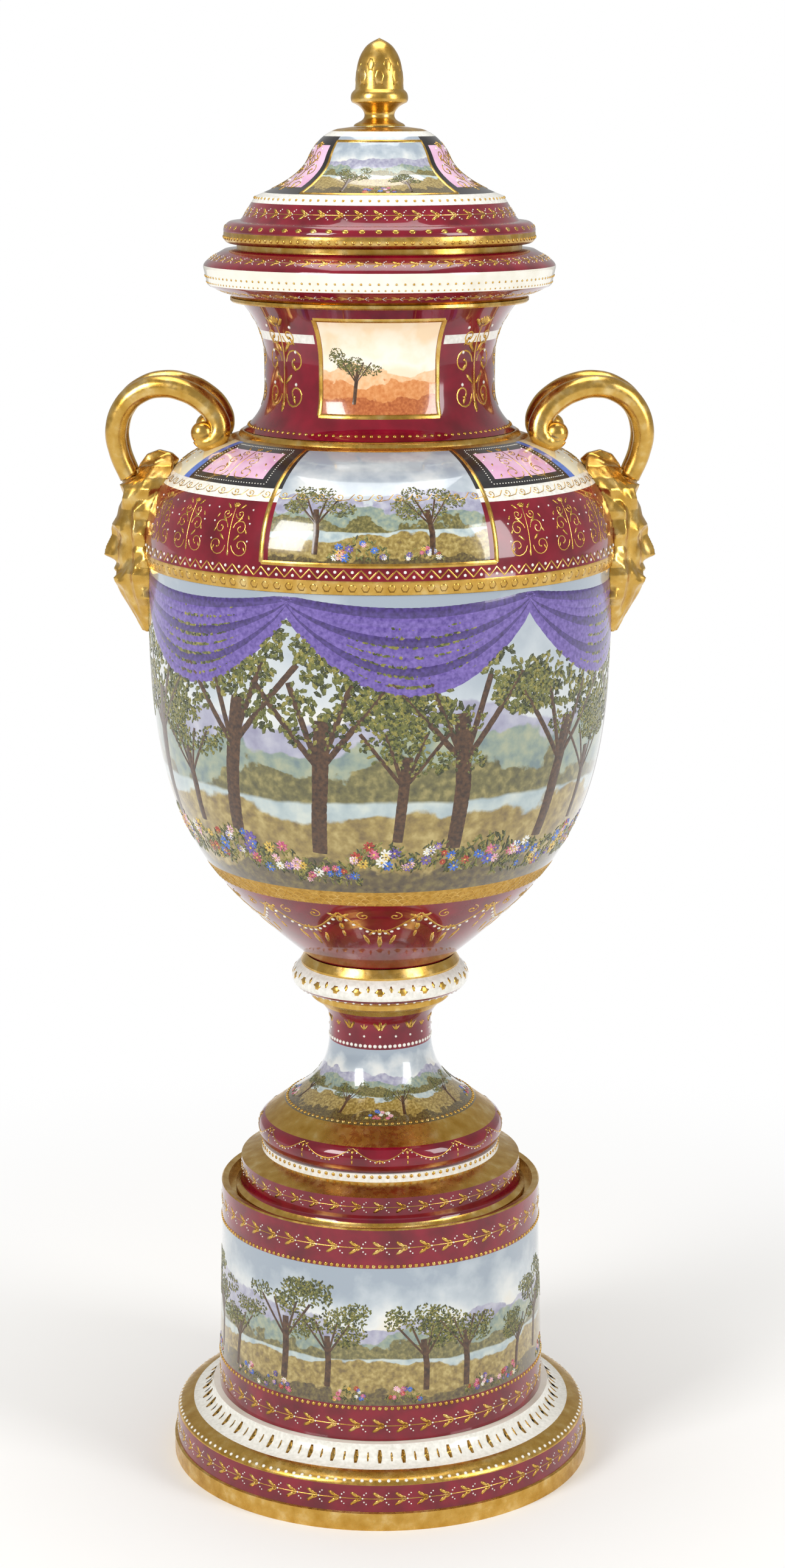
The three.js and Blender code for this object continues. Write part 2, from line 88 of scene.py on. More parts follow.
def grain(tree, where, size_mm, detail=3.0):
    """A noise whose blotches are about size_mm across."""
    scale = 1 / (size_mm * MM)
    noise = add(tree, "ShaderNodeTexNoise", inputs={"Vector": where, "Scale": scale, "Detail": detail})
    return noise.outputs["Fac"]


def shades(tree, factor, *stops):
    """A colour ramp through (position, hex) stops."""
    ramp = add(tree, "ShaderNodeValToRGB", inputs={"Fac": factor})
    elements = ramp.color_ramp.elements
    while len(elements) < len(stops):
        elements.new(0.5)
    for element, (position, colour) in zip(elements, stops):
        element.position = position
        element.color = linear(colour)
    return ramp.outputs["Color"]


def between(tree, factor, low, high, start, end):
    """Eases from start to end while the factor goes from low to high."""
    eased = add(tree, "ShaderNodeMapRange", {"interpolation_type": "SMOOTHSTEP"}, {
        "Value": factor, "From Min": low, "From Max": high, "To Min": start, "To Max": end})
    return eased.outputs["Result"]


def bumped(tree, shader, factor, depth_mm):
    """Lets light catch the factor as a relief depth_mm deep."""
    relief = {"Height": factor, "Distance": depth_mm * MM, "Strength": 0.6}
    bump = add(tree, "ShaderNodeBump", inputs=relief)
    set_inputs(tree, shader, {"Normal": bump.outputs["Normal"]})


def glaze(name, dark, light):
    """Fired porcelain under a clear lead glaze: a wet gloss over a colour that pools a little."""
    material, tree, shader, where = new_material(name)
    pooled = shades(tree, grain(tree, where, 18), (0.3, dark), (0.7, light))
    set_inputs(tree, shader, {"Base Color": pooled, "Roughness": 0.25, "Specular IOR Level": 0.12,
                              "Coat Weight": 1.0, "Coat Roughness": 0.05})
    bumped(tree, shader, grain(tree, where, 5, 1.0), 0.04)
    return material


def burnished_gilding():
    """Fired gold, burnished by hand: brighter and duller strokes over faint ripples, with a warm tone."""
    material, tree, shader, where = new_material("burnished_gilding")
    tone = shades(tree, grain(tree, where, 9), (0.3, "#c1943f"), (0.55, "#d3aa58"), (0.75, "#e6c886"))
    polish = between(tree, grain(tree, where, 4), 0.3, 0.7, 0.2, 0.34)
    set_inputs(tree, shader, {"Base Color": tone, "Metallic": 1.0, "Roughness": polish})
    bumped(tree, shader, grain(tree, where, 3.5), 0.06)
    return material


def matt_gilding():
    """Unburnished gold: dull and slightly granular, left so as a ground for raised work."""
    material, tree, shader, where = new_material("matt_gilding")
    tone = shades(tree, grain(tree, where, 3), (0.3, "#b18638"), (0.7, "#d6ae5c"))
    polish = between(tree, grain(tree, where, 2), 0.3, 0.7, 0.38, 0.6)
    set_inputs(tree, shader, {"Base Color": tone, "Metallic": 0.85, "Roughness": polish})
    bumped(tree, shader, grain(tree, where, 1.2), 0.15)
    return material


def enamel(name, dark, light):
    """Overglaze enamel: slightly raised paint with a soft gloss and brushed tone."""
    material, tree, shader, where = new_material(name)
    tone = shades(tree, grain(tree, where, 2.5), (0.3, dark), (0.7, light))
    set_inputs(tree, shader, {"Base Color": tone, "Roughness": 0.28, "Coat Weight": 0.5})
    bumped(tree, shader, grain(tree, where, 1.5), 0.05)
    return material


def plain_metal(name, dark, light, roughness):
    """Small iron and brass fittings, dull and lightly stained."""
    material, tree, shader, where = new_material(name)
    stained = shades(tree, grain(tree, where, 4), (0.3, dark), (0.7, light))
    set_inputs(tree, shader, {"Base Color": stained, "Metallic": 1.0, "Roughness": roughness})
    bumped(tree, shader, grain(tree, where, 1), 0.1)
    return material


def bare_cork():
    """Cut cork: matt, with darker grains about 2 mm across."""
    material, tree, shader, where = new_material("bare_cork")
    grains = {"Vector": where, "Scale": 1 / (2 * MM)}
    cells = add(tree, "ShaderNodeTexVoronoi", inputs=grains).outputs["Distance"]
    tone = shades(tree, cells, (0.1, "#7a5330"), (0.6, "#c2935f"))
    set_inputs(tree, shader, {"Base Color": tone, "Roughness": 0.9})
    bumped(tree, shader, cells, 0.4)
    return material


def layered(tree, under, height, where, level, swing, size_mm, colours):
    """One painted ridge laid over what is under it, below a wavy line at a part of the height."""
    wave = between(tree, grain(tree, where, size_mm, 6.0), 0.2, 0.8, level - swing, level + swing)
    depth = add(tree, "ShaderNodeMath", {"operation": "SUBTRACT"}, {0: wave, 1: height}).outputs[0]
    cover = between(tree, depth, -0.006, 0.008, 0.0, 1.0)
    strokes = grain(tree, where, size_mm * 0.12, 5.0)
    mix = add(tree, "ShaderNodeMix", {"data_type": "RGBA"}, {
        "Factor": cover, "A": under, "B": shades(tree, strokes, *zip((0.3, 0.5, 0.7), colours))})
    return mix.outputs["Result"]


def landscape(name, low, high, sky, ridges):
    """An enamel picture between two heights in mm, fired under a glassy flux: a clouded sky, and ridges
    laid one before the other."""
    material, tree, shader, where = new_material(name)
    z = add(tree, "ShaderNodeSeparateXYZ", inputs={"Vector": where}).outputs["Z"]
    rise = {"Value": z, "From Min": low * MM, "From Max": high * MM}
    height = add(tree, "ShaderNodeMapRange", inputs=rise).outputs["Result"]
    clouds = grain(tree, where, (high - low) * 0.32, 6.0)
    drift = between(tree, clouds, 0.3, 0.7, -0.16, 0.16)
    tone = add(tree, "ShaderNodeMath", {"operation": "ADD"}, {0: height, 1: drift}).outputs[0]
    colour = shades(tree, tone, *zip((0.35, 0.55, 0.75, 0.95), sky))
    for level, swing, size, colours in ridges:
        colour = layered(tree, colour, height, where, level, swing, (high - low) * size, colours)
    set_inputs(tree, shader, {"Base Color": colour, "Roughness": 0.2, "Coat Weight": 1.0,
                              "Coat Roughness": 0.04})
    bumped(tree, shader, grain(tree, where, 2.0), 0.05)
    return material


DAY_SKY = ("#e6dcc6", "#dcdedb", "#b9c2c8", "#98a4b0")
LILAC_HILLS = ("#8d8ba3", "#a3a3b6", "#b9b9c4")
BLUE_HILLS = ("#6b7f80", "#8a9888", "#a5a98c")
WOODS = ("#4a4726", "#6c6636", "#958a52")
GROUND = ("#6f5a2c", "#96803f", "#b9a566")
SHADE = ("#3a2c17", "#5a4a24", "#7a6c33")
WATER = ("#9aabb0", "#b4c1c0", "#cdd3c8")
AMBER_SKY = ("#fbe6c8", "#fcf3e2", "#fae9cf", "#f6d9b0")
PALE_AMBER = ("#eeb27a", "#f2c393", "#f6d3aa")
AMBER = ("#cf7a3a", "#dc9050", "#e8a468")
DEEP_AMBER = ("#a3501f", "#b9652f", "#cd7d42")

# Ridges from far to near. Each has the height of its edge, how far that swings and how long its hills
# are, as parts of the picture's height, and its dark, middle and light colours.
DAY_RIDGES = [
    (0.62, 0.12, 0.6, LILAC_HILLS),
    (0.5, 0.1, 0.4, BLUE_HILLS),
    (0.42, 0.1, 0.22, WOODS),
    (0.33, 0.03, 0.6, WATER),
    (0.29, 0.06, 0.3, GROUND),
    (0.1, 0.07, 0.2, SHADE),
]
AMBER_RIDGES = [
    (0.5, 0.12, 0.6, PALE_AMBER),
    (0.34, 0.1, 0.35, AMBER),
    (0.18, 0.07, 0.25, DEEP_AMBER),
]

FINISHES = {
    "crimson": glaze("crimson_glaze", "#600216", "#860824"),
    "ivory": glaze("ivory_porcelain", "#e6e1d0", "#f2efe4"),
    "pink": glaze("rose_glaze", "#dba2c6", "#e9c3dc"),
    "cream": glaze("cream_glaze", "#e7d9a8", "#f0e6c4"),
    "gold": burnished_gilding(),
    "matt gold": matt_gilding(),
    "white": enamel("white_enamel", "#dcdacf", "#f4f2ea"),
    "black": enamel("black_enamel", "#0c0a0c", "#1c171b"),
    "blue": enamel("blue_enamel", "#2c56b4", "#4e7fd8"),
    "leaf green": enamel("green_enamel", "#41481f", "#7b7c38"),
    "dark green": enamel("dark_green_enamel", "#23290f", "#454a20"),
    "bark": enamel("bark_enamel", "#2f1d12", "#5f4127"),
    "moss": enamel("moss_enamel", "#6d6a2c", "#9a9146"),
    "violet": enamel("violet_enamel", "#4f3a86", "#7d68b3"),
    "deep violet": enamel("deep_violet_enamel", "#332358", "#54418a"),
    "scarlet": enamel("scarlet_enamel", "#8e2419", "#c24a35"),
    "pale rose": enamel("pale_rose_enamel", "#dc9fb2", "#f2cdd6"),
    "rose": enamel("rose_enamel", "#b3315f", "#e58aa6"),
    "yellow": enamel("yellow_enamel", "#c99a24", "#ecd06a"),
    "frieze": landscape("frieze_picture", 425.5, 624, DAY_SKY, DAY_RIDGES),
    "plinth picture": landscape("plinth_picture", 74, 170, DAY_SKY, DAY_RIDGES),
    "bell picture": landscape("bell_picture", 254, 297, DAY_SKY, DAY_RIDGES),
    "shoulder picture": landscape("shoulder_picture", 641, 707, DAY_SKY, DAY_RIDGES),
    "lid picture": landscape("lid_picture", 864, 896, DAY_SKY, DAY_RIDGES),
    "neck picture": landscape("neck_picture", 728, 783, AMBER_SKY, AMBER_RIDGES),
    "iron": plain_metal("plain_iron", "#3c3633", "#6d6762", 0.55),
    "brass": plain_metal("dull_brass", "#8a6a34", "#b8944f", 0.38),
    "cork": bare_cork(),
}


def outline(*steps, fineness=14):
    """The points of an outline, in mm from the axis and up it. A pair is a straight step, and three pairs
    are a curve's two controls and its end."""
    points = []
    for step in steps:
        if not isinstance(step[0], tuple):
            points.append(Vector(step))
            continue
        start = points[-1]
        control1, control2, end = (Vector(pair) for pair in step)
        for i in range(1, fineness + 1):
            t = i / fineness
            s = 1 - t
            points.append(start * s ** 3 + control1 * 3 * s * s * t + control2 * 3 * s * t * t + end * t ** 3)
    return points


SHAPES = {
    "plinth_base": outline(
        (132, 0), (144, 0), (144, 12), (142.4, 12.6), (141.6, 30), ((141.4, 34), (137, 35.5), (132.4, 37)),
        ((123, 38), (118, 42), (116.5, 49)), (100, 49), (100, 42), (108, 38), (126, 26), (132, 16)),
    "plinth_drum": outline(
        (103.7, 49.3), (112.2, 49.3), (111.9, 70.3), (111.8, 74.2), (110.2, 130), (109.3, 169.5),
        (109.3, 172.2), (109.3, 195.9), (108.5, 196.8), (104.6, 196), (104.6, 190), (58, 190), (58, 183),
        (93.7, 181), (102.7, 169)),
    "foot_socle": outline(
        (86.4, 190.3), (97.9, 190.3), (99.4, 191.5), (99.4, 193.3), ((96.4, 195), (95.5, 197), (95.5, 200.5)),
        (95.5, 213.6), (81.4, 219.4), (81, 220.9), (81, 225), (6, 225), (6, 218), (74, 218), (87, 206)),
    "foot_bell": outline(
        (70, 225.3), (79.4, 225.3), ((84.4, 229), (86.1, 239.5), (79.1, 243)), (65.6, 253.4),
        ((52.5, 261.6), (33.8, 272), (34.6, 303)), (34.6, 311), ((35, 316), (38.5, 320), (43, 325.8)),
        (6, 325.8), (6, 317.8), (26, 311.8), (27, 300), ((27, 280), (42, 260), (58, 250)),
        (74, 240), (74, 231)),
    "stem_collar": outline(
        (24, 326.1), (45.8, 326.1), (47.4, 327.6), (47.4, 331), ((50, 333.4), (57.5, 333.6), (59.3, 338)),
        ((60.9, 342), (59, 347), (53.6, 350.2)), (53.8, 351.6), (50.8, 357), (6, 357), (6, 348),
        (30, 344), (30, 334)),
    "bowl": outline(
        (6, 357.3), (50, 357.3), ((73.1, 376.6), (106.2, 405), (122.9, 434.3)),
        ((146.9, 476.1), (153, 519.9), (153, 600)), (153, 624), (146.5, 624), (146.5, 590),
        ((146.5, 522), (140, 480), (116.5, 438)), ((100, 409), (72, 384), (46, 366)), (6, 366), fineness=24),
    "shoulder": outline(
        (146.5, 624.3), (154, 624.3), (155.8, 631.5), (155.6, 633), (155.2, 641),
        ((154.8, 669), (137, 697), (92.5, 707.8)), (91.5, 710), (90, 711), (81.5, 711), (81.5, 704),
        ((120, 695), (146, 680), (146.5, 641)), fineness=28),
    "neck": outline(
        (82.5, 711.3), (89, 711.3), (88, 712.3), ((83, 717), (75.5, 724), (75, 738)), (75, 757),
        ((75, 775), (83.4, 785.4), (89.5, 793.4)), (96, 793.8), (97, 794.8), (97, 796.6), (87, 796.6),
        ((78, 786), (68.5, 776), (68.5, 757)), (68.5, 738), ((68.5, 726), (75, 720), (82.5, 714.3))),
    "neck_rim": outline(
        (83, 796.9), (96, 796.9), (97, 798.2), (110.4, 804), (111.8, 805.2), (114, 814.8),
        ((115.2, 818.6), (111.6, 821), (100.5, 827.2)), (92.4, 828), (92.4, 830.7), (83, 830.7)),
    "lid_shell": outline(
        (80, 806), (80, 831), (97, 831), ((100.6, 831.6), (101.4, 834.5), (100.8, 838.6)),
        ((101.6, 841), (99, 844.3), (96.4, 845)), (90.6, 845.4), (88.8, 847.2), (82.6, 857.2), (80, 861),
        ((67.5, 865.8), (50.2, 874), (45.8, 885)), ((42.4, 893), (36.6, 900.6), (27, 903.2)), (17.6, 904.4),
        (0, 904.4), (0, 898.4), (24, 896.9), ((36, 893), (38, 878), (50, 868)),
        (72, 856), (74, 850), (74, 806)),
    "finial_acorn": outline(
        (0, 904.7), (16.6, 904.7), ((16.4, 907.5), (10, 907), (9.6, 911.6)),
        ((9.6, 915), (13, 918), (17.4, 919.6)), ((18.8, 920.8), (18.8, 924.6), (17.2, 926.4)), (15.6, 928),
        ((14.8, 934), (15.8, 945), (10, 952.8)), ((7.6, 956.6), (4.2, 958), (0, 960))),
}
BODY_OF = {"plinth_base": "plinth", "plinth_drum": "plinth", "lid_shell": "lid", "finial_acorn": "lid"}


def settle(bm, name, body, finishes):
    """Makes the object of a finished bmesh, in place, and sets what it rides on."""
    mesh = bpy.data.meshes.new(name)
    bm.to_mesh(mesh)
    bm.free()
    piece = bpy.data.objects.new(name, mesh)
    bpy.context.scene.collection.objects.link(piece)
    for finish in finishes:
        mesh.materials.append(FINISHES[finish])
    mesh.shade_smooth()
    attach(piece, body)
    return piece


def azimuth(x, y):
    """Degrees round the axis from the photographed side, 0 to 180 both ways."""
    return abs((math.degrees(math.atan2(y, x)) - FRONT + 180) % 360 - 180)


def turned(node, rule):
    """Spins a node's outline round the axis. The rule takes degrees from the front or back, and mm from
    the axis and up it, and names the finish there."""
    points = SHAPES[node]
    closed = points[0].x > 0 or points[-1].x > 0
    bm = bmesh.new()
    verts = [bm.verts.new((p.x * MM, 0, p.y * MM)) for p in points]
    ends = verts[1:] + verts[:1] if closed else verts[1:]
    edges = [bm.edges.new(pair) for pair in zip(verts, ends)]
    bmesh.ops.spin(bm, geom=verts + edges, cent=(0, 0, 0), axis=(0, 0, 1), angle=2 * math.pi,
                   steps=TURN_STEPS, use_merge=True)
    bmesh.ops.remove_doubles(bm, verts=bm.verts, dist=MERGE)
    bmesh.ops.recalc_face_normals(bm, faces=bm.faces)
    finishes = []
    for face in bm.faces:
        centre = face.calc_center_median()
        side = azimuth(centre.x, centre.y)
        finish = rule(min(side, 180 - side), math.hypot(centre.x, centre.y) / MM, centre.z / MM)
        if finish not in finishes:
            finishes.append(finish)
        face.material_index = finishes.index(finish)
    for edge in bm.edges:
        if len(edge.link_faces) == 2 and edge.calc_face_angle() > SHARP_EDGE:
            edge.smooth = False
    piece = settle(bm, "fine_" + node, BODY_OF.get(node, "vase"), finishes)
    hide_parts(node)


def bands(*stops, above="crimson"):
    """A rule that goes by height alone: (z, finish) holds below that z."""
    def rule(side, r, z):
        for top, finish in stops:
            if z < top:
                return finish
        return above
    return rule


class Art:
    """Raised ornament, drawn flat and then wrapped on a stretch of a turned surface.
    x runs round the surface from the middle, y up it from the stretch's foot and z off it, in mm."""

    def __init__(self, node, low, high):
        """Walks the piece's outline up its painted side from one height to another."""
        points = SHAPES[node]
        start = next(i for i in range(1, len(points)) if points[i].y > max(points[i - 1].y, low))
        self.walk = [self.crossing(points[start - 1], points[start], low)]
        for before, point in zip(points[start - 1:], points[start:]):
            if point.y >= high:
                self.walk.append(self.crossing(before, point, high))
                break
            self.walk.append(point)
        self.steps = [(b - a).length for a, b in zip(self.walk, self.walk[1:])]
        self.height = sum(self.steps)
        self.radius = sum(p.x for p in self.walk) / len(self.walk)
        self.bm = bmesh.new()
        self.done = []
        self.finishes = []

    def set_aside(self):
        """Keeps the mesh being drawn on small, because every operator walks the whole of it."""
        if len(self.bm.verts) > CHUNK:
            mesh = bpy.data.meshes.new("drawn")
            self.bm.to_mesh(mesh)
            self.done.append(mesh)
            self.bm.clear()

    @staticmethod
    def crossing(a, b, z):
        """The point at height z on the way from a to b."""
        if abs(b.y - a.y) < 1e-6:
            return a.copy()
        return a.lerp(b, min(max((z - a.y) / (b.y - a.y), 0), 1))

    def painted(self, geometry, finish, matrix=None):
        """Puts what an operator made in its place and gives its faces their finish."""
        if finish not in self.finishes:
            self.finishes.append(finish)
        verts = [v for v in geometry if isinstance(v, bmesh.types.BMVert)]
        if matrix:
            bmesh.ops.transform(self.bm, matrix=matrix, verts=verts)
        for face in {f for v in verts for f in v.link_faces}:
            face.material_index = self.finishes.index(finish)

    def leaf(self, finish, x, y, angle, length, width, sides=6):
        """A pointed, slightly domed leaf whose middle is at x, y."""
        self.set_aside()
        made = bmesh.ops.create_cone(self.bm, cap_ends=True, segments=sides, radius1=1, radius2=0.35, depth=1)
        turn = Matrix.Rotation(math.radians(angle), 4, "Z")
        place = Matrix.Translation((x, y, RELIEF / 2 - SINK)) @ turn
        self.painted(made["verts"], finish, place @ Matrix.Diagonal((length / 2, width / 2, RELIEF, 1)))

    def dot(self, finish, x, y, radius):
        """A small bead, flattened as enamel is when it melts."""
        self.set_aside()
        made = bmesh.ops.create_uvsphere(self.bm, u_segments=6, v_segments=4, radius=1)
        place = Matrix.Translation((x, y, 0)) @ Matrix.Diagonal((radius, radius, min(radius, 0.9) * 0.7, 1))
        self.painted(made["verts"], finish, place)

    def stroke(self, finish, points, width, relief=RELIEF):
        """A raised line with a ridged top, pulled along the points."""
        self.set_aside()
        points = self.finely([Vector((x, y, 0)) for x, y in points])
        row = None
        for i, point in enumerate(points):
            way = (points[min(i + 1, len(points) - 1)] - points[max(i - 1, 0)]).normalized()
            across = Vector((-way.y, way.x, 0)) * width / 2
            places = [point + across - Vector((0, 0, SINK)), point + Vector((0, 0, relief)),
                      point - across - Vector((0, 0, SINK))]
            if row is None:
                row = [self.bm.verts.new(p) for p in places]
                edges = [self.bm.edges.new(pair) for pair in zip(row, row[1:])]
                start = list(row)
                continue
            made = bmesh.ops.extrude_edge_only(self.bm, edges=edges)["geom"]
            edges = [e for e in made
                     if isinstance(e, bmesh.types.BMEdge) and all(v not in row for v in e.verts)]
            fresh = {v for e in edges for v in e.verts}
            row = [next(v for v in fresh if (v.co - old.co).length < 1e-9) for old in row]
            for vert, place in zip(row, places):
                vert.co = place
            start += row
        self.painted(start, finish)

    @staticmethod
    def finely(points):
        """Adds points so that a line follows the curve of the surface and doesn't sink into it."""
        fine = [points[0]]
        for a, b in zip(points, points[1:]):
            parts = max(1, math.ceil((b - a).length / STRAIGHT))
            fine += [a.lerp(b, i / parts) for i in range(1, parts + 1)]
        return fine

    def spiral(self, finish, x, y, radius, start, turns, width, hand=1):
        """A volute that winds in to its eye."""
        steps = max(8, int(14 * abs(turns)))
        points = []
        for i in range(steps + 1):
            t = i / steps
            angle = math.radians(start) + hand * turns * 2 * math.pi * t
            reach = radius * (1 - 0.82 * t)
            points.append((x + reach * math.cos(angle), y + reach * math.sin(angle)))
        self.stroke(finish, points, width)
        self.dot(finish, points[-1][0], points[-1][1], width * 0.9)

    def place(self, x, y, lift):
        """Where a drawn point comes to lie on the surface, in metres."""
        y = min(max(y, 0), self.height)
        for a, b, length in zip(self.walk, self.walk[1:], self.steps):
            if y <= length + 1e-6 or b is self.walk[-1]:
                break
            y -= length
        along = (b - a).normalized()
        spot = a + along * y
        r = spot.x + along.y * lift
        z = spot.y - along.x * lift
        angle = math.radians(FRONT) + x / self.radius
        return Vector((r * math.cos(angle), r * math.sin(angle), z)) * MM

    def wrap(self, name, body, count=1, at=0.0):
        """Bends the drawing on to its surface, turned by at degrees, and repeats it count times round."""
        for mesh in self.done:
            self.bm.from_mesh(mesh)
            bpy.data.meshes.remove(mesh)
        for vert in self.bm.verts:
            vert.co = self.place(*vert.co)
        if at:
            bmesh.ops.rotate(self.bm, cent=(0, 0, 0), matrix=Matrix.Rotation(math.radians(at), 3, "Z"),
                             verts=self.bm.verts)
        if count > 1:
            drawn = self.bm.verts[:] + self.bm.edges[:] + self.bm.faces[:]
            bmesh.ops.spin(self.bm, geom=drawn, cent=(0, 0, 0), axis=(0, 0, 1), use_duplicate=True,
                           angle=2 * math.pi * (count - 1) / count, steps=count - 1)
        bmesh.ops.recalc_face_normals(self.bm, faces=self.bm.faces)
        settle(self.bm, name, body, self.finishes)

    def pitch(self, count):
        """The width of one of count repeats round the surface."""
        return 2 * math.pi * self.radius / count


def laurel_border(name, node, low, high, body, count):
    """A thin running stem with leaves in pairs and sprays of white dots between them."""
    art = Art(node, low, high)
    pitch, middle = art.pitch(count), art.height / 2
    tall = min(art.height, pitch)
    art.stroke("gold", [(-pitch / 2, middle), (0, middle), (pitch / 2, middle)], tall * 0.045)
    for side in (-1, 1):
        art.leaf("gold", -pitch * 0.12, middle + side * tall * 0.16, 180 - side * 34,
                 tall * 0.56, tall * 0.2, 8)
        art.leaf("gold", pitch * 0.09, middle + side * tall * 0.09, 180 - side * 26, tall * 0.3, tall * 0.1)
        art.dot("white", pitch * 0.3, middle + side * tall * 0.17, tall * 0.04)
        art.dot("white", pitch * 0.4, middle + side * tall * 0.26, tall * 0.035)
    art.dot("white", pitch * 0.24, middle, tall * 0.045)
    art.wrap(name, body, count)


def bead_row(name, node, z, body, count, radius, finish="white"):
    """A ring of count small beads at one height."""
    art = Art(node, z - radius, z + radius)
    art.dot(finish, 0, art.height / 2, radius)
    art.wrap(name, body, count)


def leaf_ring(name, node, low, high, body, count, *leaves):
    """A ring of upright leaves. A leaf's place across and up, its length and its width are parts of one
    repeat."""
    art = Art(node, low, high)
    pitch = art.pitch(count)
    for across, up, length, width in leaves:
        art.leaf("gold", pitch * across, art.height * up, 90, art.height * length, pitch * width)
    art.wrap(name, body, count)


def arabesque(art, x, width, tall):
    """A candelabra of mirrored scrolls, leaves and buds. tall is the part of its stretch that it fills."""
    y = art.height / 2
    height = art.height * tall
    line = max(0.5, height * 0.022)
    art.stroke("gold", [(x, y - height * 0.48), (x, y), (x, y + height * 0.4)], line)
    for side in (-1, 1):
        for level, size, hand in ((-0.3, 0.2, 1), (0.02, 0.16, -1), (0.28, 0.1, 1)):
            reach = min(size * height, width * 0.3)
            art.spiral("gold", x + side * (reach * 1.15 + width * 0.04), y + level * height, reach,
                       180 if side > 0 else 0, 1.2, line, side * hand)
            art.leaf("gold", x + side * width * 0.17, y + (level + 0.15) * height, side * 42,
                     height * 0.2, height * 0.055)
            art.leaf("gold", x + side * width * 0.36, y + (level - 0.05) * height, side * 120,
                     height * 0.13, height * 0.045)
            art.dot("white", x + side * width * 0.42, y + (level + 0.1) * height, line * 0.9)
    for angle in (50, 70, 90, 110, 130):
        turn = math.radians(angle)
        rise = height * 0.4 + math.sin(turn) * height * 0.06
        art.leaf("gold", x + math.cos(turn) * height * 0.07, y + rise, angle, height * 0.14, height * 0.045)
    art.leaf("gold", x, y - height * 0.42, 90, height * 0.14, height * 0.07)


def festoon(art, width, top, drop):
    """A swag of beads hung between two points, with a bellflower drop at each."""
    line = max(0.5, drop * 0.05)
    curve = [(width * (t / 12 - 0.5), top - drop * 0.62 * math.sin(math.pi * t / 12)) for t in range(13)]
    art.stroke("gold", curve, line)
    for x, y in curve[1:-1]:
        art.dot("white", x, y - line * 1.6, line * 0.75)
    for side in (-1, 1):
        for i in range(3):
            art.leaf("gold", side * width / 2 + side * 0.1, top - drop * (0.2 + 0.26 * i), 90,
                     drop * 0.3, drop * (0.14 - 0.03 * i))
        art.leaf("gold", side * width * 0.43, top - drop * 0.1, -side * 40, drop * 0.3, drop * 0.1)
    for angle in (-40, 0, 40):
        art.leaf("gold", math.sin(math.radians(angle)) * drop * 0.2, top - drop * 0.66, 90 + angle,
                 drop * 0.34, drop * 0.1)


def framed(art, degrees, margin, gap, beads="white"):
    """A gold frame with beads on it, degrees to each side of the middle and a margin in from the edges."""
    half = art.radius * math.radians(degrees)
    low, high = margin, art.height - margin
    corners = [(-half, low), (half, low), (half, high), (-half, high), (-half, low)]
    for (x0, y0), (x1, y1) in zip(corners, corners[1:]):
        steps = max(2, int(math.hypot(x1 - x0, y1 - y0) / gap))
        points = [(x0 + (x1 - x0) * i / steps, y0 + (y1 - y0) * i / steps) for i in range(steps + 1)]
        art.stroke("gold", points, gap * 0.95, 0.7)
        for x, y in points[1::2]:
            art.dot(beads, x, y, gap * 0.26)


def painted_tree(art, x, y, height, lean):
    """A painted tree: a forked trunk under a crown of nine clumps of small leaf dabs."""
    top = (x + lean * height, y + height * 0.62)
    knee = (x + lean * height * 0.2, y + height * 0.3)
    art.stroke("bark", [(x - height * 0.02, y), knee, top], height * 0.085, 0.4)
    for fork in (-0.3, -0.14, 0.12, 0.27):
        art.stroke("bark", [(x + lean * height * 0.4, y + height * 0.4),
                            (top[0] + fork * height, top[1] + height * 0.16)], height * 0.032, 0.3)
    for clump in range(9):
        cx = top[0] + rng.uniform(-0.42, 0.42) * height
        cy = top[1] + rng.uniform(-0.06, 0.34) * height
        for dab in range(70):
            turn = rng.uniform(0, 2 * math.pi)
            reach = math.sqrt(rng.random()) * height * 0.16
            tone = rng.choice(("dark green", "leaf green", "leaf green", "moss"))
            art.leaf(tone, cx + reach * math.cos(turn), cy + reach * math.sin(turn) * 0.62,
                     rng.uniform(0, 180), height * 0.05, height * 0.026, 5)


def bloom(art, x, y, radius):
    """An open flower: two rings of petals round an eye."""
    finish = rng.choice(("rose", "pale rose", "yellow", "blue", "violet", "white", "scarlet"))
    for ring, count in ((0.62, 8), (0.34, 6)):
        for petal in range(count):
            angle = 360 * petal / count + ring * 100
            turn = math.radians(angle)
            art.leaf(finish, x + radius * ring * math.cos(turn), y + radius * ring * math.sin(turn), angle,
                     radius * 0.8, radius * 0.52)
    art.dot("yellow" if finish != "yellow" else "bark", x, y, radius * 0.2)


def flower_bank(art, x, y, width):
    """A bank of leaves and open blooms at the foot of a picture, heaped towards its middle."""
    for blade in range(int(width * 2.2)):
        across = rng.uniform(-0.5, 0.5)
        rise = (1 - 3.2 * across * across) * rng.random() * 0.42
        art.leaf(rng.choice(("dark green", "leaf green", "moss")), x + across * width, y + rise * width,
                 rng.uniform(20, 160), width * 0.13, width * 0.04, 5)
    for flower in range(13):
        across = rng.uniform(-0.42, 0.42)
        rise = (1 - 3.6 * across * across) * rng.uniform(0.05, 0.42)
        bloom(art, x + across * width, y + rise * width, width * rng.uniform(0.05, 0.1))


def drape(art, x, top, width, drop):
    """A length of violet cloth hung in folds across the top of a picture."""
    for fold in range(9):
        depth = drop * (0.12 + 0.1 * fold)
        curve = [(x + width * (t / 16 - 0.5), top - depth * math.sin(math.pi * t / 16) ** 0.8)
                 for t in range(17)]
        art.stroke("violet" if fold % 3 else "deep violet", curve, drop * 0.13, 0.5)


